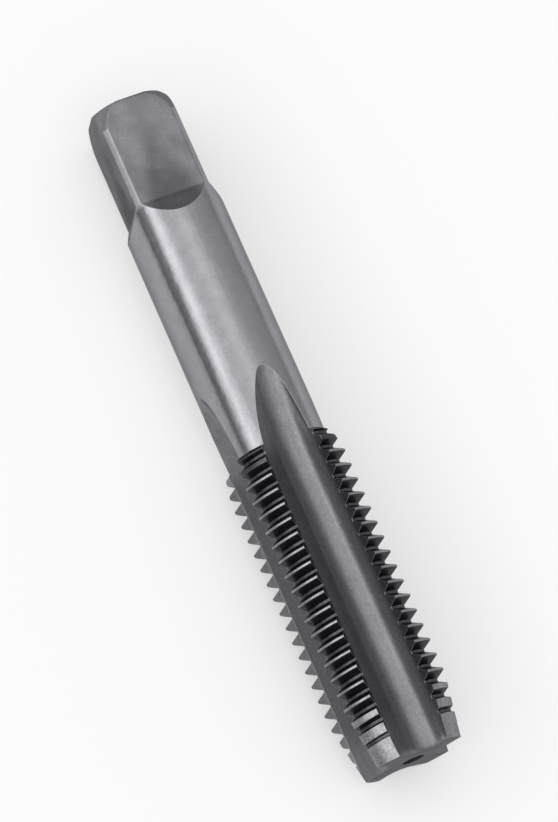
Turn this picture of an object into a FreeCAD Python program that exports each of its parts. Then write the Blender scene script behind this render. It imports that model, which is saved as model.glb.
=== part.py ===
import FreeCAD, Part
import math
import os

# Hand tap for a coarse 20 mm metric thread, one piece of ground tool steel. Units: mm, degrees.
# The axis lies along X, the cutting end towards +X, and the origin is under the middle of the
# bounding box. Angles round the axis are counted from +Z towards +Y.

# Sizes of the blank.
OVERALL_LENGTH = 113.5
SHANK_DIAMETER = 16.56

# Thread.
THREAD_DIAMETER = 20.0
THREAD_PITCH = 2.5
THREAD_LENGTH = 52.7
THREAD_DEPTH = 1.53
CREST_FLAT_PER_PITCH = 0.125
FLANK_HALF_ANGLE = 30.0
REAR_STEP_DIAMETER = 18.6
REAR_STEP_LENGTH = 0.7
REAR_TAPER_LENGTH = 3.6
LEAD_LENGTH = 10.0
LEAD_END_DIAMETER = 16.3
CREST_BEHIND_TIP = 0.2

# Flutes and the lands between them.
LAND_CENTRES = (45.0, 135.0, 225.0, 315.0)
LAND_WIDTH_ANGLE = 30.0
CORE_DIAMETER = 8.6
FLUTE_ROOT_RADIUS = 2.7
HEEL_WALL_DEPTH = 1.7
FULL_DEPTH_LENGTH = 48.0
CUTTER_RADIUS = 36.0

# Driving square.
SQUARE_ACROSS_FLATS = 12.42
SQUARE_LENGTH = 17.46
SHOULDER_RISE_ANGLE = 31.0
SQUARE_TURN = -3.5
END_ROUNDING_LENGTH = 4.5
END_ROUNDING_RADIUS = 7.0

# Centre holes, one in each end.
CENTRE_MOUTH_DIAMETER = 3.6
CENTRE_PILOT_DIAMETER = 1.6
CENTRE_PILOT_DEPTH = 3.4
CENTRE_CONE_ANGLE = 60.0

# How far a cutting shape reaches past the metal that it clears.
REACH = 1.0
GROOVE_REACH_ANGLE = 9.0

SHANK_RADIUS = SHANK_DIAMETER / 2
THREAD_RADIUS = THREAD_DIAMETER / 2
ROOT_RADIUS = THREAD_RADIUS - THREAD_DEPTH
LEAD_END_RADIUS = LEAD_END_DIAMETER / 2
CORE_RADIUS = CORE_DIAMETER / 2
TIP_X = OVERALL_LENGTH / 2
TAIL_X = -OVERALL_LENGTH / 2
HALF_LAND = LAND_WIDTH_ANGLE / 2
FLUTE_HALF_ANGLE = 360.0 / len(LAND_CENTRES) / 2 - HALF_LAND
LOWEST_EDGE_ANGLE = min(abs(180.0 - angle) for angle in LAND_CENTRES) - HALF_LAND
AXIS_HEIGHT = THREAD_RADIUS * math.cos(math.radians(LOWEST_EDGE_ANGLE))
X_AXIS = FreeCAD.Vector(1, 0, 0)
CENTRE = FreeCAD.Vector(0, 0, 0)


def polar(radius, angle, x=0.0):
    """Point at a radius and an angle round the axis."""
    turn = math.radians(angle)
    return FreeCAD.Vector(x, radius * math.sin(turn), radius * math.cos(turn))


def above(x, radius):
    """Point straight above the axis."""
    return FreeCAD.Vector(x, 0, radius)


def line(start, end):
    return Part.LineSegment(start, end).toShape()


def face_of(edges):
    return Part.Face(Part.Wire(edges))


def outline(points):
    """Closed face through straight edges."""
    return face_of([line(a, b) for a, b in zip(points, points[1:] + points[:1])])


def turned_round(shape, angle):
    """Copy turned round the axis, from straight above towards +Y."""
    copy = shape.copy()
    copy.rotate(CENTRE, X_AXIS, -angle)
    return copy


def end_rounding():
    """Arc that rounds the tail, tangent to the shank, and its two ends."""
    middle_radius = SHANK_RADIUS - END_ROUNDING_RADIUS

    def on_arc(distance_from_tail):
        back = END_ROUNDING_LENGTH - distance_from_tail
        rise = math.sqrt(END_ROUNDING_RADIUS ** 2 - back ** 2)
        return above(TAIL_X + distance_from_tail, middle_radius + rise)

    start = on_arc(0.0)
    end = on_arc(END_ROUNDING_LENGTH)
    return start, Part.Arc(start, on_arc(END_ROUNDING_LENGTH / 2), end).toShape(), end


def turned_blank():
    """Blank before the flutes, the thread and the square: one profile turned round the axis."""
    tail_rim, rounding, shank_start = end_rounding()
    thread_start = TIP_X - THREAD_LENGTH
    corners = [
        shank_start,
        above(thread_start, SHANK_RADIUS),
        above(thread_start + REAR_STEP_LENGTH, REAR_STEP_DIAMETER / 2),
        above(thread_start + REAR_STEP_LENGTH + REAR_TAPER_LENGTH, THREAD_RADIUS),
        above(TIP_X - LEAD_LENGTH, THREAD_RADIUS),
        above(TIP_X, LEAD_END_RADIUS),
        above(TIP_X, 0),
        above(TAIL_X, 0),
        tail_rim,
    ]
    edges = [rounding] + [line(a, b) for a, b in zip(corners, corners[1:])]
    return face_of(edges).revolve(CENTRE, X_AXIS, 360)


def flute_section():
    """Section of one flute about straight up: a radial cutting face, a round root, a sloped wall
    and a short steep wall up to the heel."""
    centre_distance = CORE_RADIUS + FLUTE_ROOT_RADIUS
    off_face = math.degrees(math.asin(FLUTE_ROOT_RADIUS / centre_distance))
    root_centre = polar(centre_distance, FLUTE_HALF_ANGLE - off_face)
    face_foot_radius = math.sqrt(centre_distance ** 2 - FLUTE_ROOT_RADIUS ** 2)
    face_foot = polar(face_foot_radius, FLUTE_HALF_ANGLE)
    top_radius = (THREAD_RADIUS + REACH) / math.cos(math.radians(FLUTE_HALF_ANGLE))
    face_top = polar(top_radius, FLUTE_HALF_ANGLE)
    heel_top = polar(top_radius, -FLUTE_HALF_ANGLE)
    heel_foot = polar(THREAD_RADIUS - HEEL_WALL_DEPTH, -FLUTE_HALF_ANGLE)
    to_heel = heel_foot - root_centre
    half_view = math.acos(FLUTE_ROOT_RADIUS / to_heel.Length)
    heading = math.atan2(to_heel.y, to_heel.z) - half_view
    wall_foot = root_centre + polar(FLUTE_ROOT_RADIUS, math.degrees(heading))
    bottom = root_centre - polar(FLUTE_ROOT_RADIUS, FLUTE_HALF_ANGLE - off_face)
    return face_of([
        line(heel_foot, wall_foot),
        Part.Arc(wall_foot, bottom, face_foot).toShape(),
        line(face_foot, face_top),
        line(face_top, heel_top),
        line(heel_top, heel_foot),
    ])


def flute_cutters():
    """Space of one flute: straight from the tip, then risen on the cutter's radius into the shank."""
    section = flute_section()
    section.translate(X_AXIS * (TIP_X - FULL_DEPTH_LENGTH))
    straight = section.extrude(X_AXIS * (FULL_DEPTH_LENGTH + REACH))
    cutter_centre = above(TIP_X - FULL_DEPTH_LENGTH, CORE_RADIUS + CUTTER_RADIUS)
    clear_height = CUTTER_RADIUS + CORE_RADIUS - THREAD_RADIUS - REACH
    run_out_angle = math.degrees(math.acos(clear_height / CUTTER_RADIUS))
    run_out = section.revolve(cutter_centre, FreeCAD.Vector(0, 1, 0), run_out_angle)
    return [straight, run_out]


def square_cutter():
    """Metal cleared from one side of the driving square, up its sloped shoulder."""
    flat = SQUARE_ACROSS_FLATS / 2
    top = SHANK_RADIUS + REACH
    slope_run = (top - flat) / math.tan(math.radians(SHOULDER_RISE_ANGLE))
    side = outline([
        above(TAIL_X - REACH, flat),
        above(TAIL_X + SQUARE_LENGTH, flat),
        above(TAIL_X + SQUARE_LENGTH + slope_run, top),
        above(TAIL_X - REACH, top),
    ])
    side.translate(FreeCAD.Vector(0, -top, 0))
    return side.extrude(FreeCAD.Vector(0, 2 * top, 0))


def centre_hole(mouth_x, inward):
    """Female centre with a pilot bore, from one end face inwards."""
    mouth = CENTRE_MOUTH_DIAMETER / 2
    pilot = CENTRE_PILOT_DIAMETER / 2
    slope = math.tan(math.radians(CENTRE_CONE_ANGLE / 2))
    cone_depth = (mouth - pilot) / slope
    section = outline([
        above(mouth_x - inward * REACH, 0),
        above(mouth_x - inward * REACH, mouth + REACH * slope),
        above(mouth_x + inward * cone_depth, pilot),
        above(mouth_x + inward * CENTRE_PILOT_DEPTH, pilot),
        above(mouth_x + inward * (CENTRE_PILOT_DEPTH + pilot * slope), 0),
    ])
    return section.revolve(CENTRE, X_AXIS, 360)


def groove_length():
    """Short stretch of the thread groove, true helix, wide enough to cross one land."""
    span = LAND_WIDTH_ANGLE + 2 * GROOVE_REACH_ANGLE
    advance = THREAD_PITCH * span / 360
    outer = THREAD_RADIUS + REACH / 4
    flank = math.tan(math.radians(FLANK_HALF_ANGLE))
    half_mouth = THREAD_PITCH * (1 - CREST_FLAT_PER_PITCH) / 2
    half_root = half_mouth - THREAD_DEPTH * flank
    half_outer = half_mouth + (outer - THREAD_RADIUS) * flank
    corners = [
        FreeCAD.Vector(ROOT_RADIUS, 0, -half_root),
        FreeCAD.Vector(ROOT_RADIUS, 0, half_root),
        FreeCAD.Vector(outer, 0, half_outer),
        FreeCAD.Vector(outer, 0, -half_outer),
    ]
    profile = Part.Wire([line(a, b) for a, b in zip(corners, corners[1:] + corners[:1])])
    path = Part.Wire(Part.makeHelix(THREAD_PITCH, advance, ROOT_RADIUS).Edges)
    groove = path.makePipeShell([profile], True, True)
    groove.translate(FreeCAD.Vector(0, 0, -advance / 2))
    groove.rotate(CENTRE, FreeCAD.Vector(0, 1, 0), 90)
    groove.rotate(CENTRE, X_AXIS, 180 - span / 2)
    return groove


def thread_grooves():
    """Every stretch of groove that crosses a land, from the tip back to the end of the thread."""
    groove = groove_length()
    first = TIP_X - CREST_BEHIND_TIP + THREAD_PITCH / 2
    turns = math.ceil((THREAD_LENGTH + THREAD_PITCH) / THREAD_PITCH)
    grooves = []
    for angle in LAND_CENTRES:
        on_land = turned_round(groove, angle)
        for turn in range(turns + 1):
            copy = on_land.copy()
            copy.translate(X_AXIS * (first - THREAD_PITCH * (turn + (angle % 360) / 360 - 1)))
            grooves.append(copy)
    return grooves


def thread_tap():
    """The whole tap, set down on the edges of its two lower lands."""
    cutters = []
    for angle in LAND_CENTRES:
        cutters += [turned_round(cutter, angle - 45.0) for cutter in flute_cutters()]
    for side in range(4):
        cutters.append(turned_round(square_cutter(), SQUARE_TURN + 90.0 * side))
    cutters.append(centre_hole(TIP_X, -1))
    cutters.append(centre_hole(TAIL_X, 1))
    fluted = turned_blank().cut(cutters)
    threaded = fluted.cut(thread_grooves())
    body = threaded.Solids[0] if len(threaded.Solids) == 1 else threaded
    body.translate(FreeCAD.Vector(0, 0, AXIS_HEIGHT))
    return body


os.makedirs("parts", exist_ok=True)
thread_tap().exportStep("parts/thread_tap.step")
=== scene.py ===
"""Studio scene of a 20 mm hand tap that lies on a pale floor."""

import logging
import math
from dataclasses import dataclass, field
from enum import Enum

import bpy
from mathutils import Matrix, Vector


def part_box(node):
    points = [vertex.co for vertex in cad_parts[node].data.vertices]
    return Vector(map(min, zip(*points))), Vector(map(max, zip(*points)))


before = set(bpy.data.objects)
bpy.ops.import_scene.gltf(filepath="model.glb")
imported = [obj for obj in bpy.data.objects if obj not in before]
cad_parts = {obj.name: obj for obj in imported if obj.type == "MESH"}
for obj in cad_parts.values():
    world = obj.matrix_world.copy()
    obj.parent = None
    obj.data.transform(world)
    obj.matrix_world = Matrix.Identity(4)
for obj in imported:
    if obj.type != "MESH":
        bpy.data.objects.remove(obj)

IMAGE_HEIGHT = 822
MM = 0.001
QUARTER_TURN = 90.0
HALF_TURN = 180.0
RAMP_MIDDLE = 0.5

log = logging.getLogger("hand_tap")

Socket = bpy.types.NodeSocket
Colour = tuple[float, float, float]
Rgba = tuple[float, float, float, float]
Span = tuple[float, float]


class Zone(Enum):
    """Values and masks that tell the tap's surfaces apart."""

    ALONG = "Along"
    AROUND = "Around"
    RADIUS = "Radius"
    THREAD = "Thread"
    DEPTH = "Depth"
    FLUTE = "Flute"
    WALL = "Wall shade"
    ROOT = "Root"
    SQUARE = "Square"
    SHOULDER = "Shoulder"
    SHADE = "Shade"
    TAIL = "Tail"
    END = "End"
    HOLE = "Hole"


ZoneSockets = dict[Zone, Socket]


class Bench:
    """Small helper that lays out one shader node tree."""

    def __init__(self, tree: bpy.types.NodeTree) -> None:
        """Keep the tree.

        Args:
            tree: Node tree to work on.
        """
        self.tree = tree

    def node(self, kind: str, **settings: object) -> bpy.types.Node:
        """Add a node.

        Args:
            kind: Node type, without its prefix.
            settings: Attributes to set on it.

        Returns:
            The new node.
        """
        made = self.tree.nodes.new("ShaderNode" + kind)
        for name, value in settings.items():
            setattr(made, name, value)
        return made

    def feed(self, socket: Socket, value: object) -> None:
        """Link or set a socket.

        Args:
            socket: Input socket.
            value: Output socket, number, colour or vector.
        """
        if isinstance(value, bpy.types.NodeSocket):
            self.tree.links.new(value, socket)
        else:
            socket.default_value = value

    def math(self, operation: str, *values: object, clamp: bool = False) -> Socket:
        """Add a math node.

        Args:
            operation: Blender's name of the operation.
            values: Sockets or numbers, in order.
            clamp: Whether the result stays between 0 and 1.

        Returns:
            The result.
        """
        made = self.node("Math", operation=operation, use_clamp=clamp)
        for socket, value in zip(made.inputs, values):
            self.feed(socket, value)
        return made.outputs[0]

    def product(self, first: object, *others: object) -> Socket:
        """Multiply numbers or masks.

        Args:
            first: First factor.
            others: Other factors, in order.

        Returns:
            The product.
        """
        result = first
        for other in others:
            result = self.math("MULTIPLY", result, other)
        return result

    def without(self, mask: object) -> Socket:
        """Turn a mask round."""
        return self.math("SUBTRACT", 1.0, mask)

    def step(self, value: object, start: float, end: float) -> Socket:
        """Turn a value into a soft mask.

        Args:
            value: Value to read.
            start: Value at which the mask is 0.
            end: Value at which the mask is 1.

        Returns:
            The mask.
        """
        made = self.node("MapRange", interpolation_type="SMOOTHSTEP")
        self.feed(made.inputs["Value"], value)
        made.inputs["From Min"].default_value = start
        made.inputs["From Max"].default_value = end
        return made.outputs["Result"]

    def scale(self, value: object, low: object, high: object) -> Socket:
        """Spread a 0 to 1 value over a range.

        Args:
            value: Value between 0 and 1.
            low: Result at 0.
            high: Result at 1.

        Returns:
            The spread value.
        """
        made = self.node("MapRange")
        self.feed(made.inputs["Value"], value)
        self.feed(made.inputs["To Min"], low)
        self.feed(made.inputs["To Max"], high)
        return made.outputs["Result"]

    def mix(self, mask: object, first: object, second: object) -> Socket:
        """Mix two colours.

        Args:
            mask: 0 for the first colour, 1 for the second.
            first: First colour.
            second: Second colour.

        Returns:
            The mixed colour.
        """
        made = self.node("Mix", data_type="RGBA")
        self.feed(made.inputs["Factor"], mask)
        self.feed(made.inputs["A"], first)
        self.feed(made.inputs["B"], second)
        return made.outputs["Result"]

    def mix_value(self, mask: object, first: object, second: object) -> Socket:
        """Mix two numbers.

        Args:
            mask: 0 for the first number, 1 for the second.
            first: First number.
            second: Second number.

        Returns:
            The mixed number.
        """
        made = self.node("Mix", data_type="FLOAT")
        self.feed(made.inputs["Factor"], mask)
        self.feed(made.inputs["A"], first)
        self.feed(made.inputs["B"], second)
        return made.outputs["Result"]

    def place(self, name: str) -> Socket:
        """Read a texture coordinate by its name."""
        return self.node("TexCoord").outputs[name]

    def split(self, vector: Socket) -> tuple[Socket, Socket, Socket]:
        """Split a vector into its three numbers.

        Args:
            vector: Vector to split.

        Returns:
            The three numbers.
        """
        made = self.node("SeparateXYZ")
        self.feed(made.inputs[0], vector)
        return made.outputs["X"], made.outputs["Y"], made.outputs["Z"]

    def noise(self, place: Socket, scale: float, detail: float) -> Socket:
        """Add a noise pattern.

        Args:
            place: Where the pattern is read.
            scale: Fineness of the pattern.
            detail: Number of finer layers.

        Returns:
            Noise between 0 and 1.
        """
        made = self.node("TexNoise")
        self.feed(made.inputs["Vector"], place)
        made.inputs["Scale"].default_value = scale
        made.inputs["Detail"].default_value = detail
        return made.outputs[0]

    def vector(self, x: object, y: object, z: object) -> Socket:
        """Join three numbers into a vector.

        Args:
            x: First number.
            y: Second number.
            z: Third number.

        Returns:
            The vector.
        """
        made = self.node("CombineXYZ")
        for socket, value in zip(made.inputs, (x, y, z)):
            self.feed(socket, value)
        return made.outputs[0]

    def rounded(self, radius: object, samples: int) -> Socket:
        """Round the edges in shading.

        Args:
            radius: Radius of the rounding, in metres.
            samples: Number of samples.

        Returns:
            The rounded normal.
        """
        made = self.node("Bevel", samples=samples)
        self.feed(made.inputs["Radius"], radius)
        return made.outputs[0]

    def bump(self, height: Socket, strength: float, distance: float, normal: Socket) -> Socket:
        """Raise a pattern in shading.

        Args:
            height: The pattern.
            strength: Share of its height that shows.
            distance: Its full height, in metres.
            normal: Normal to start from.

        Returns:
            The bumped normal.
        """
        made = self.node("Bump")
        made.inputs["Strength"].default_value = strength
        made.inputs["Distance"].default_value = distance
        self.feed(made.inputs["Height"], height)
        self.feed(made.inputs["Normal"], normal)
        return made.outputs[0]


@dataclass(frozen=True)
class Tint:
    """Colour of one kind of surface.

    Attributes:
        colour: Colour of the surface.
    """

    colour: Colour

    @property
    def rgba(self) -> Rgba:
        """Colour with a full alpha."""
        return (*self.colour, 1.0)


@dataclass(frozen=True)
class Finish(Tint):
    """Look of one kind of surface.

    Attributes:
        roughness: How much its reflections are blurred.
    """

    roughness: float


@dataclass(frozen=True)
class Mottle:
    """Noise that is as wide as it is long.

    Attributes:
        scale: Fineness of the pattern.
        detail: Number of finer layers.
    """

    scale: float
    detail: float

    def lay(self, bench: Bench) -> Socket:
        """Lay the pattern over the tap."""
        return bench.noise(bench.place("Object"), self.scale, self.detail)


@dataclass(frozen=True)
class Scratches:
    """Noise that is drawn out along the tap or round it.

    Attributes:
        scale: Fineness of the pattern.
        along: Factor on its fineness along the axis.
        around: Factor on its fineness round the axis.
        detail: Number of finer layers.
    """

    scale: float
    along: float = 1.0
    around: float = 1.0
    detail: float = 3.0

    def lay(self, bench: Bench, zones: ZoneSockets) -> Socket:
        """Lay the pattern over the tap.

        Args:
            bench: Bench of the material.
            zones: Values and masks of the tap's surfaces.

        Returns:
            Noise between 0 and 1.
        """
        along = bench.math("MULTIPLY", zones[Zone.ALONG], self.along)
        around = bench.math("MULTIPLY", zones[Zone.AROUND], self.around)
        place = bench.vector(along, around, zones[Zone.RADIUS])
        return bench.noise(place, self.scale, self.detail)


@dataclass(frozen=True)
class Spot:
    """Where a point lies on the tap.

    Attributes:
        along: Place along the axis.
        radius: Distance from the axis.
        angle: Angle round the axis, from straight up towards +Y.
        turned: Part of the surface's normal that points round the axis, times the radius.
    """

    along: Socket
    radius: Socket
    angle: Socket
    turned: Socket


@dataclass(frozen=True)
class TapZones:
    """Where each kind of surface lies on the tap, in metres and degrees.

    Attributes:
        tip_x: Where the cutting end is.
        end_slice: Thickness of the slice that counts as the cutting end's face.
        hole_radius: Radius within which a surface belongs to a centre hole.
        shank_radius: Radius of the plain shank.
        milled_below: Depth under the shank's surface at which a milled surface begins.
        thread_radius: Radius over the crests.
        thread_depth: Depth of the groove.
        thread_below: Depth under the shank's surface that the groove still reaches.
        thread_start: Where the thread begins, on the shank's side.
        lead_length: Length of the lead chamfer.
        lead_slope: Fall of the chamfer per length.
        land_turn: Angle from straight up to the middle of a land, and half that between two.
        half_land: Half the angle that counts as a land.
        wall_lean: Least part of the normal that points round the axis on a wall.
        wall_rise: Radii between which the painted shade of a wall comes in.
        deep_rise: Radii between which it comes in on walls that face forward.
        deep_share: Share of it there.
        wall_fade: Where it comes in along the axis, from the thread's start.
        lead_fade: Distances from the tip between which it grows weaker.
        lead_share: Share of it that is left at the tip.
        flute_limit: End of the flutes, on the shank's side.
        root_rise: Radii between which the root of a flute comes in.
        square_limit: Limit of the driving square and its shoulders.
        square_end: Where the flats of the square end.
        square_turn: Turn of the square.
        half_flat: Half the angle between the middles of two flats.
        shoulder_gap: Distance from the end of the flats to the shoulders.
        shade_along: Distances from the shoulder between which the dark patch comes in.
        shade_across: Distances from a flat's middle between which it comes in.
        shade_narrowing: How much narrower the patch gets per length.
        tail_fade: Where the square's softer edges come in, from the end of the flats.
    """

    tip_x: float = 56.75 * MM
    end_slice: float = 0.02 * MM
    hole_radius: float = 1.85 * MM
    shank_radius: float = 8.28 * MM
    milled_below: float = 0.03 * MM
    thread_radius: float = 10.0 * MM
    thread_depth: float = 1.53 * MM
    thread_below: float = 0.2 * MM
    thread_start: float = 4.05 * MM
    lead_length: float = 10.0 * MM
    lead_slope: float = 0.185
    land_turn: float = 45.0
    half_land: float = 14.75
    wall_lean: float = 0.5
    wall_rise: Span = (7.4 * MM, 8.8 * MM)
    deep_rise: Span = (5.3 * MM, 6.1 * MM)
    deep_share: float = 0.78
    wall_fade: Span = (-2.0 * MM, 4.0 * MM)
    lead_fade: Span = (9.0 * MM, 3.0 * MM)
    lead_share: float = 0.5
    flute_limit: float = -26.0 * MM
    root_rise: Span = (8.2 * MM, 7.2 * MM)
    square_limit: float = -30.0 * MM
    square_end: float = -39.29 * MM
    square_turn: float = -3.5
    half_flat: float = 45.0
    shoulder_gap: float = 0.05 * MM
    shade_along: Span = (14.0 * MM, 4.0 * MM)
    shade_across: Span = (5.4 * MM, 2.4 * MM)
    shade_narrowing: float = 0.28
    tail_fade: Span = (1.0 * MM, -0.5 * MM)

    def build(self, axis_height: float) -> bpy.types.NodeTree:
        """Make the group that tells the tap's surfaces apart.

        Args:
            axis_height: Height of the tap's axis over the floor, in metres.

        Returns:
            The group, with an output for each zone.
        """
        group = bpy.data.node_groups.new("tap_zones", "ShaderNodeTree")
        for zone in Zone:
            group.interface.new_socket(zone.value, in_out="OUTPUT", socket_type="NodeSocketFloat")
        bench = Bench(group)
        spot = self.find(bench, axis_height)
        milled = bench.math("LESS_THAN", spot.radius, self.shank_radius - self.milled_below)
        found = {
            Zone.ALONG: spot.along,
            Zone.AROUND: bench.math("MULTIPLY", spot.angle, self.shank_radius),
            Zone.RADIUS: spot.radius,
            **self.mark_thread(bench, spot, milled),
            **self.mark_square(bench, spot, milled),
            **self.mark_end(bench, spot),
        }
        output = group.nodes.new("NodeGroupOutput")
        for zone, value in found.items():
            bench.feed(output.inputs[zone.value], value)
        return group

    def find(self, bench: Bench, axis_height: float) -> Spot:
        """Find where a point lies on the tap.

        Args:
            bench: Bench of the group.
            axis_height: Height of the tap's axis over the floor, in metres.

        Returns:
            The point's place.
        """
        along, across, height = bench.split(bench.place("Object"))
        upward = bench.math("SUBTRACT", height, axis_height)
        squares = bench.math("ADD", bench.product(across, across), bench.product(upward, upward))
        radius = bench.math("SQRT", squares)
        angle = bench.math("ARCTAN2", across, upward)
        _, facing_across, facing_up = bench.split(bench.place("Normal"))
        turned = bench.math("SUBTRACT", bench.product(facing_across, upward),
                            bench.product(facing_up, across))
        return Spot(along, radius, angle, turned)

    def mark_thread(self, bench: Bench, spot: Spot, milled: Socket) -> ZoneSockets:
        """Mark the thread and the flutes.

        Args:
            bench: Bench of the group.
            spot: The point's place.
            milled: Mask of what lies under the shank's surface.

        Returns:
            The masks, and the depth in the groove.
        """
        land_turn = math.radians(self.land_turn)
        off_land = bench.math("SUBTRACT", spot.angle, land_turn)
        off_land = bench.math("ABSOLUTE", bench.math("WRAP", off_land, land_turn, -land_turn))
        on_land = bench.math("LESS_THAN", off_land, math.radians(self.half_land))
        sidelong = bench.math("ABSOLUTE", bench.math("DIVIDE", spot.turned, spot.radius))
        wall = bench.math("GREATER_THAN", sidelong, self.wall_lean)
        on_land = bench.product(on_land, bench.without(wall))
        threaded = bench.math("GREATER_THAN", spot.along, self.thread_start)
        high = bench.math("GREATER_THAN", spot.radius, self.shank_radius - self.thread_below)
        behind_tip = bench.math("SUBTRACT", self.tip_x, spot.along)
        tip_radius = self.thread_radius - self.lead_slope * self.lead_length
        chamfer = bench.math("MULTIPLY_ADD", behind_tip, self.lead_slope, tip_radius)
        envelope = bench.math("MINIMUM", chamfer, self.thread_radius)
        under_crest = bench.math("SUBTRACT", envelope, spot.radius)
        beside_land = bench.product(bench.without(on_land), threaded)
        fluted = bench.math("GREATER_THAN", spot.along, self.flute_limit)
        flute = bench.product(fluted, bench.math("MAXIMUM", milled, beside_land))
        return {
            Zone.THREAD: bench.product(on_land, threaded, high),
            Zone.DEPTH: bench.math("DIVIDE", under_crest, self.thread_depth, clamp=True),
            Zone.FLUTE: flute,
            # Painted shade on the flutes' walls beside the thread.
            Zone.WALL: bench.product(self.paint_wall_shade(bench, spot, behind_tip), wall),
            Zone.ROOT: bench.product(flute, bench.step(spot.radius, *self.root_rise)),
        }

    def paint_wall_shade(self, bench: Bench, spot: Spot, behind_tip: Socket) -> Socket:
        """Spread the painted shade on the flutes' walls.

        Args:
            bench: Bench of the group.
            spot: The point's place.
            behind_tip: Distance from the tip.

        Returns:
            How much painted shade a wall gets at the point.
        """
        # The painted shade reaches deeper into the flute on walls that face forward, and grows
        # weaker near the tip.
        forward = bench.math("GREATER_THAN", spot.turned, 0.0)
        deep = bench.scale(bench.step(spot.radius, *self.deep_rise), 0.0, self.deep_share)
        high = bench.step(spot.radius, *self.wall_rise)
        reach = bench.math("MAXIMUM", high, bench.product(forward, deep))
        starts = [self.thread_start + offset for offset in self.wall_fade]
        near_tip = bench.step(behind_tip, *self.lead_fade)
        return bench.product(reach, bench.step(spot.along, *starts),
                             bench.scale(near_tip, 1.0, self.lead_share))

    def mark_square(self, bench: Bench, spot: Spot, milled: Socket) -> ZoneSockets:
        """Mark the driving square, its shoulders and the dark patches before them.

        Args:
            bench: Bench of the group.
            spot: The point's place.
            milled: Mask of what lies under the shank's surface.

        Returns:
            The masks.
        """
        square = bench.product(bench.math("LESS_THAN", spot.along, self.square_limit), milled)
        half_flat = math.radians(self.half_flat)
        off_flat = bench.math("SUBTRACT", spot.angle, math.radians(self.square_turn))
        off_flat = bench.math("WRAP", off_flat, half_flat, -half_flat)
        sideways = bench.math("ABSOLUTE", bench.product(spot.radius, bench.math("SINE", off_flat)))
        from_shoulder = bench.math("SUBTRACT", self.square_end, spot.along)
        narrowed = bench.math("MULTIPLY_ADD", from_shoulder, self.shade_narrowing, sideways)
        past_flats = bench.math("GREATER_THAN", spot.along, self.square_end + self.shoulder_gap)
        tail = [self.square_end + offset for offset in self.tail_fade]
        return {
            Zone.SQUARE: square,
            Zone.SHOULDER: bench.product(square, past_flats),
            Zone.SHADE: bench.product(bench.step(from_shoulder, *self.shade_along),
                                      bench.step(narrowed, *self.shade_across)),
            Zone.TAIL: bench.step(spot.along, *tail),
        }

    def mark_end(self, bench: Bench, spot: Spot) -> ZoneSockets:
        """Mark the cutting end's face and the centre holes.

        Args:
            bench: Bench of the group.
            spot: The point's place.

        Returns:
            The masks.
        """
        end = bench.math("GREATER_THAN", spot.along, self.tip_x - self.end_slice)
        in_hole = bench.math("LESS_THAN", spot.radius, self.hole_radius)
        return {Zone.END: end, Zone.HOLE: bench.product(in_hole, bench.without(end))}


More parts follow.
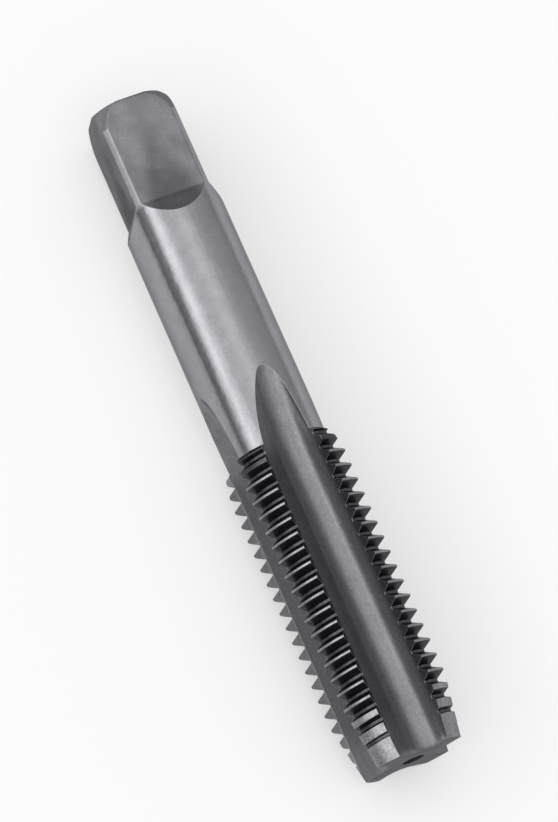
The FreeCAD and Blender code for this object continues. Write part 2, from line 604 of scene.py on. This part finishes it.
@dataclass(frozen=True)
class TapSteel:
    """Steel of the tap, with a finish for each kind of surface.

    Attributes:
        grazing: Tint of the steel where it is seen at a grazing angle.
        shank: Finish of the ground shank.
        flat: Finish of the square.
        flute: Finish of the flutes.
        groove: Finish down in the thread; its colour is painted shade, its roughness the real
            finish of the thread.
        worn: Finish of the rubbed edges.
        crest: Tint of the crests.
        end: Tint of the cutting end's face, darkened as painted shade.
        wall: Painted shade on the flutes' walls beside the thread.
        hole: Painted shade down in the centre holes.
        rings: Grinding marks round the shank.
        lengthwise: Grinding marks along the flutes.
        streaks: Wider streaks along the flutes.
        cloud: Soft clouds over all surfaces.
        blotch: Blotches of the square, and of the rub.
        grain: Fine grain.
        waves: Slight waviness of the surface.
        crest_depth: Depths in the groove between which a crest ends.
        mark_tone: Most that the marks change the tone by.
        cloud_tone: Most that the clouds change the tone by.
        blotch_tone: Most that the blotches change the tone by, on the square.
        grain_tone: Most that the grain changes the tone by.
        streak_tone: Most that the streaks change the tone by.
        blotch_span: Noise between which the blotches spread.
        grain_span: Noise between which the grain and the streaks spread.
        grain_shares: Share of the grain on plain surfaces and on the thread.
        flute_grain: Share of the grain in the flutes.
        speck_grain: Grain between which a bright speck comes in.
        speck_blotch: Blotch between which specks come in.
        speck_tone: What a speck adds to the tone.
        shade_tone: Tone of the dark patches on the square.
        shoulder_light_tone: Painted light on the square's shoulders, as a factor on their tone.
        edge_radius: Rounding of an edge in shading, on the tap and on its square.
        root_radius: The same in the root of a flute.
        edge_samples: Samples of that rounding.
        rub_radius: Reach of the rub on an edge, on the tap and on its square.
        rub_samples: Samples of the rub.
        rub_turn: Likeness of the normals between which the rub comes in.
        rub_blotch: Blotch between which the rub comes in.
        rub_shares: Share of the rub on the tap and on its square.
        corner_share: Share of the rub on the square's corners.
        mark_roughness: Most that the marks change the roughness by.
        wave_height: Height of the waviness.
        mark_height: Height of the marks.
        mark_strength: Share of that height that shows.
    """

    grazing: Tint = Tint((0.5, 0.5, 0.51))
    shank: Finish = Finish((0.325, 0.322, 0.341), 0.235)
    flat: Finish = Finish((0.222, 0.22, 0.234), 0.42)
    flute: Finish = Finish((0.225, 0.223, 0.238), 0.38)
    groove: Finish = Finish((0.075, 0.075, 0.082), 0.33)
    worn: Finish = Finish((0.5, 0.495, 0.515), 0.46)
    crest: Tint = Tint((0.29, 0.287, 0.303))
    end: Tint = Tint((0.15, 0.149, 0.159))
    wall: Tint = Tint((0.1, 0.099, 0.106))
    hole: Tint = Tint((0.03, 0.03, 0.033))
    rings: Scratches = Scratches(5200.0, around=0.08)
    lengthwise: Scratches = Scratches(3000.0, along=0.05)
    streaks: Scratches = Scratches(1500.0, along=0.03)
    cloud: Mottle = Mottle(420.0, 4.0)
    blotch: Mottle = Mottle(190.0, 6.0)
    grain: Mottle = Mottle(2600.0, 5.0)
    waves: Mottle = Mottle(900.0, 4.0)
    crest_depth: Span = (0.015, 0.07)
    mark_tone: float = 0.07
    cloud_tone: float = 0.16
    blotch_tone: float = 0.13
    grain_tone: float = 0.26
    streak_tone: float = 0.06
    blotch_span: Span = (0.36, 0.66)
    grain_span: Span = (0.3, 0.7)
    grain_shares: Span = (0.1, 0.8)
    flute_grain: float = 0.35
    speck_grain: Span = (0.6, 0.72)
    speck_blotch: Span = (0.48, 0.6)
    speck_tone: float = 0.35
    shade_tone: float = 0.6
    shoulder_light_tone: float = 1.3
    edge_radius: Span = (0.14 * MM, 0.7 * MM)
    root_radius: float = 2.0 * MM
    edge_samples: int = 8
    rub_radius: Span = (0.16 * MM, 0.34 * MM)
    rub_samples: int = 6
    rub_turn: Span = (0.985, 0.86)
    rub_blotch: Span = (0.42, 0.62)
    rub_shares: Span = (0.45, 0.7)
    corner_share: float = 0.25
    mark_roughness: float = 0.05
    wave_height: float = 0.03 * MM
    mark_height: float = 0.01 * MM
    mark_strength: float = 0.2

    def build(self, zones_group: bpy.types.NodeTree) -> bpy.types.Material:
        """Make the material.

        Args:
            zones_group: Group that tells the tap's surfaces apart.

        Returns:
            The material.
        """
        material = bpy.data.materials.new("tap_steel")
        material.use_nodes = True
        bench = Bench(material.node_tree)
        outputs = bench.node("Group", node_tree=zones_group).outputs
        zones = {zone: outputs[zone.value] for zone in Zone}
        marks = bench.mix_value(zones[Zone.FLUTE], self.rings.lay(bench, zones),
                                self.lengthwise.lay(bench, zones))
        blotch = self.blotch.lay(bench)
        corner = bench.product(zones[Zone.TAIL], bench.without(zones[Zone.SQUARE]))
        rubbed = bench.math("MAXIMUM", self.rub(bench, zones, blotch),
                            bench.product(corner, self.corner_share))
        toned = bench.node("VectorMath", operation="SCALE")
        bench.feed(toned.inputs[0], bench.mix(rubbed, self.dye(bench, zones), self.worn.rgba))
        bench.feed(toned.inputs["Scale"], self.tone(bench, zones, marks, blotch))
        shader = material.node_tree.nodes["Principled BSDF"]
        shader.inputs["Metallic"].default_value = 1.0
        shader.inputs["Specular Tint"].default_value = self.grazing.rgba
        bench.feed(shader.inputs["Base Color"], toned.outputs[0])
        bench.feed(shader.inputs["Roughness"], self.blur(bench, zones, marks, corner))
        bench.feed(shader.inputs["Normal"], self.relief(bench, zones, marks))
        return material

    def dye(self, bench: Bench, zones: ZoneSockets) -> Socket:
        """Colour each kind of surface, with painted shade on the flutes' walls, down in the
        thread, on the cutting end's face and in the centre holes.

        Args:
            bench: Bench of the material.
            zones: Values and masks of the tap's surfaces.

        Returns:
            The colour.
        """
        colour = bench.mix(zones[Zone.SQUARE], self.shank.rgba, self.flat.rgba)
        colour = bench.mix(zones[Zone.FLUTE], colour, self.flute.rgba)
        # Painted shade: the flutes' walls darken towards the wall tint.
        colour = bench.mix(zones[Zone.WALL], colour, self.wall.rgba)
        # Painted shade: the thread darkens from the crest down into the groove.
        groove_shade = bench.step(zones[Zone.DEPTH], *self.crest_depth)
        thread = bench.mix(groove_shade, self.crest.rgba, self.groove.rgba)
        colour = bench.mix(zones[Zone.THREAD], colour, thread)
        # Painted shade on the cutting end's face.
        colour = bench.mix(zones[Zone.END], colour, self.end.rgba)
        # Painted shade down in the centre holes.
        return bench.mix(zones[Zone.HOLE], colour, self.hole.rgba)

    def tone(self, bench: Bench, zones: ZoneSockets, marks: Socket, blotch: Socket) -> Socket:
        """Vary how light the steel is, with painted light on the square's shoulders.

        Args:
            bench: Bench of the material.
            zones: Values and masks of the tap's surfaces.
            marks: Grinding marks.
            blotch: Blotches.

        Returns:
            Factor on the colour.
        """
        square, flute = zones[Zone.SQUARE], zones[Zone.FLUTE]
        grain = self.grain.lay(bench)
        grained = bench.math("MAXIMUM", bench.scale(zones[Zone.THREAD], *self.grain_shares),
                             bench.product(flute, self.flute_grain))
        streaks = bench.step(self.streaks.lay(bench, zones), *self.grain_span)
        speck = bench.product(bench.step(grain, *self.speck_grain),
                              bench.step(blotch, *self.speck_blotch), square)
        tone = bench.math("ADD", bench.scale(marks, 1.0 - self.mark_tone, 1.0 + self.mark_tone),
                          bench.scale(self.cloud.lay(bench), -self.cloud_tone, self.cloud_tone))
        for pattern, strength, mask in (
                (bench.step(blotch, *self.blotch_span), self.blotch_tone, square),
                (bench.step(grain, *self.grain_span), self.grain_tone, grained),
                (streaks, self.streak_tone, flute)):
            change = bench.scale(pattern, -strength, strength)
            tone = bench.math("ADD", tone, bench.product(change, mask))
        tone = bench.math("MULTIPLY_ADD", speck, self.speck_tone, tone)
        shade = bench.scale(bench.product(zones[Zone.SHADE], square), 1.0, self.shade_tone)
        # Painted light: the square's shoulders are lightened.
        shoulder = bench.scale(zones[Zone.SHOULDER], 1.0, self.shoulder_light_tone)
        return bench.product(tone, shade, shoulder)

    def rub(self, bench: Bench, zones: ZoneSockets, blotch: Socket) -> Socket:
        """Find the edges that are rubbed bright.

        Args:
            bench: Bench of the material.
            zones: Values and masks of the tap's surfaces.
            blotch: Blotches.

        Returns:
            Mask of the rub.
        """
        reach = bench.scale(zones[Zone.TAIL], *self.rub_radius)
        likeness = bench.node("VectorMath", operation="DOT_PRODUCT")
        bench.feed(likeness.inputs[0], bench.rounded(reach, self.rub_samples))
        bench.feed(likeness.inputs[1], bench.place("Normal"))
        return bench.product(bench.step(likeness.outputs["Value"], *self.rub_turn),
                             bench.step(blotch, *self.rub_blotch),
                             bench.without(zones[Zone.HOLE]),
                             bench.scale(zones[Zone.TAIL], *self.rub_shares))

    def blur(self, bench: Bench, zones: ZoneSockets, marks: Socket, corner: Socket) -> Socket:
        """Roughen each kind of surface.

        Args:
            bench: Bench of the material.
            zones: Values and masks of the tap's surfaces.
            marks: Grinding marks.
            corner: Mask of the square's corners.

        Returns:
            The roughness.
        """
        rough = self.shank.roughness
        for mask, finish in ((zones[Zone.SQUARE], self.flat), (zones[Zone.FLUTE], self.flute),
                             (zones[Zone.THREAD], self.groove), (corner, self.worn)):
            rough = bench.mix_value(mask, rough, finish.roughness)
        change = bench.scale(marks, -self.mark_roughness, self.mark_roughness)
        return bench.math("ADD", rough, change)

    def relief(self, bench: Bench, zones: ZoneSockets, marks: Socket) -> Socket:
        """Round the edges and raise the marks in shading.

        Args:
            bench: Bench of the material.
            zones: Values and masks of the tap's surfaces.
            marks: Grinding marks.

        Returns:
            The normal.
        """
        radius = bench.scale(zones[Zone.TAIL], *self.edge_radius)
        radius = bench.mix_value(zones[Zone.ROOT], radius, self.root_radius)
        rounded = bench.rounded(radius, self.edge_samples)
        waved = bench.bump(self.waves.lay(bench), 1.0, self.wave_height, rounded)
        return bench.bump(marks, self.mark_strength, self.mark_height, waved)


@dataclass
class HandTap:
    """The tap, which is one rigid piece of steel.

    Attributes:
        zones: Where each kind of surface lies on it.
        steel: What it is made of.
    """

    zones: TapZones = field(default_factory=TapZones)
    steel: TapSteel = field(default_factory=TapSteel)

    @property
    def axis_height(self) -> float:
        """Height of the tap's axis over the floor, in metres."""
        low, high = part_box("thread_tap")
        return (low.z + high.z) / 2

    def build(self) -> None:
        """Dress the tap in its steel."""
        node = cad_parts["thread_tap"]
        node.data.materials.clear()
        node.data.materials.append(self.steel.build(self.zones.build(self.axis_height)))


@dataclass(frozen=True)
class SkyBand:
    """Brightness of the studio at one angle round the tap's axis.

    Attributes:
        angle: Degrees from straight up, positive towards +Y.
        level: Radiance at that angle.
    """

    angle: float
    level: float

    @property
    def position(self) -> float:
        """Place on the studio's ramp, from 0 on the -Y side to 1 on the +Y side."""
        return (self.angle + QUARTER_TURN) / HALF_TURN


SKY = (
    SkyBand(-90.0, 0.05),
    SkyBand(-80.0, 0.08),
    SkyBand(-73.0, 0.85),
    SkyBand(-64.0, 1.9),
    SkyBand(-58.0, 2.7),
    SkyBand(-50.0, 1.95),
    SkyBand(-38.0, 1.15),
    SkyBand(-18.0, 1.2),
    SkyBand(-3.0, 1.46),
    SkyBand(11.0, 1.18),
    SkyBand(23.0, 0.9),
    SkyBand(36.0, 0.7),
    SkyBand(75.0, 0.6),
    SkyBand(90.0, 0.35),
)


@dataclass
class Studio:
    """Floor, light and camera round the tap.

    Attributes:
        floor_side: Length of the floor's side, in metres.
        floor_finish: Finish of the floor.
        whiteness: Share of plain white in the floor as it is seen.
        end_band: How far towards the tap's two ends the light begins and stops to fall.
        end_level: Share of the light that is left there.
        distance: Camera distance, in metres.
        round_axis: Camera's place round the tap's axis, in degrees from straight up.
        towards_tip: Camera's lean towards the cutting end, in degrees.
        roll: Turn of the picture, in degrees.
        focal_pixels: Focal length in pixels of the picture.
        look_along: Point looked at, along the axis, in metres.
        look_across: Point looked at, across the axis, in metres.
        sensor: Sensor size, in millimetres.
        clip: Nearest and farthest distance that the camera sees, in metres.
    """

    floor_side: float = 6.0
    floor_finish: Finish = Finish((0.9, 0.9, 0.9), 0.9)
    whiteness: float = 0.4
    end_band: Span = (0.55, 0.97)
    end_level: float = 0.5
    distance: float = 0.65
    round_axis: float = -18.5
    towards_tip: float = 14.321
    roll: float = 23.981
    focal_pixels: float = 4183.8
    look_along: float = -1.762 * MM
    look_across: float = 2.884 * MM
    sensor: float = 36.0
    clip: Span = (0.01, 100.0)

    def build(self, axis_height: float) -> None:
        """Make the floor, the light and the camera.

        Args:
            axis_height: Height of the tap's axis over the floor, in metres.
        """
        self.make_floor()
        self.make_light()
        self.make_camera(axis_height)

    def make_floor(self) -> None:
        """Lay the floor under the tap."""
        bpy.ops.mesh.primitive_plane_add(size=self.floor_side, location=(0.0, 0.0, 0.0))
        floor = bpy.context.object
        floor.name = "floor"
        material = bpy.data.materials.new("pale_floor")
        material.use_nodes = True
        bench = Bench(material.node_tree)
        shader = material.node_tree.nodes["Principled BSDF"]
        shader.inputs["Base Color"].default_value = self.floor_finish.rgba
        shader.inputs["Roughness"].default_value = self.floor_finish.roughness
        shader.inputs["Specular IOR Level"].default_value = 0.0
        rays = bench.node("LightPath").outputs
        seen = bench.math("MAXIMUM", rays["Is Camera Ray"], rays["Is Glossy Ray"])
        seen = bench.math("MAXIMUM", seen, rays["Is Transmission Ray"])
        white = bench.node("Emission")
        blend = bench.node("MixShader")
        bench.feed(blend.inputs[0], bench.math("MULTIPLY", seen, self.whiteness))
        bench.feed(blend.inputs[1], shader.outputs[0])
        bench.feed(blend.inputs[2], white.outputs[0])
        surface = material.node_tree.nodes["Material Output"].inputs["Surface"]
        bench.feed(surface, blend.outputs[0])
        floor.data.materials.append(material)

    def make_light(self) -> None:
        """Fill the studio with light that runs in long strips beside the tap."""
        world = bpy.data.worlds.new("studio")
        bpy.context.scene.world = world
        world.use_nodes = True
        world.node_tree.nodes.clear()
        bench = Bench(world.node_tree)
        along, across, upward = bench.split(bench.place("Generated"))
        angle = bench.math("ARCTAN2", across, upward)
        over_top = bench.math("MULTIPLY_ADD", angle, 1.0 / math.pi, RAMP_MIDDLE)
        ramp = bench.node("ValToRGB")
        bench.feed(ramp.inputs["Fac"], over_top)
        peak = max(band.level for band in SKY)
        elements = ramp.color_ramp.elements
        while len(elements) < len(SKY):
            elements.new(RAMP_MIDDLE)
        for element, band in zip(elements, SKY):
            element.position = band.position
        for element, band in zip(elements, SKY):
            element.color = (band.level / peak,) * 3 + (1.0,)
        towards_end = bench.step(bench.math("ABSOLUTE", along), *self.end_band)
        light = bench.node("Background")
        bench.feed(light.inputs["Color"], ramp.outputs["Color"])
        bench.feed(light.inputs["Strength"],
                   bench.scale(towards_end, peak, peak * self.end_level))
        output = bench.node("OutputWorld")
        bench.feed(output.inputs["Surface"], light.outputs[0])

    def make_camera(self, axis_height: float) -> None:
        """Place the camera where the picture was taken from.

        Args:
            axis_height: Height of the tap's axis over the floor, in metres.
        """
        turn = math.radians(self.round_axis)
        lean = math.radians(self.towards_tip)
        roll = math.radians(self.roll)
        along = Vector((1.0, 0.0, 0.0))
        upward = Vector((0.0, math.sin(turn), math.cos(turn)))
        across = Vector((0.0, math.cos(turn), -math.sin(turn)))
        back = upward * math.cos(lean) + along * math.sin(lean)
        down_axis = along * math.cos(lean) - upward * math.sin(lean)
        right = down_axis * math.sin(roll) + across * math.cos(roll)
        up = across * math.sin(roll) - down_axis * math.cos(roll)
        target = Vector((self.look_along, 0.0, axis_height)) + across * self.look_across
        data = bpy.data.cameras.new("camera")
        camera = bpy.data.objects.new("camera", data)
        bpy.context.scene.collection.objects.link(camera)
        data.sensor_width = self.sensor
        data.lens = self.focal_pixels / IMAGE_HEIGHT * self.sensor
        data.clip_start, data.clip_end = self.clip
        place = Matrix((right, up, back)).transposed().to_4x4()
        place.translation = target + back * self.distance
        camera.matrix_world = place
        bpy.context.scene.camera = camera


def main() -> None:
    """Build the scene in order."""
    logging.basicConfig(level=logging.INFO)
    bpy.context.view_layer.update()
    tap = HandTap()
    tap.build()
    log.info("tap dressed")
    bpy.context.scene.view_settings.view_transform = "Standard"
    Studio().build(tap.axis_height)
    log.info("studio built")


if __name__ == "__main__":
    main()
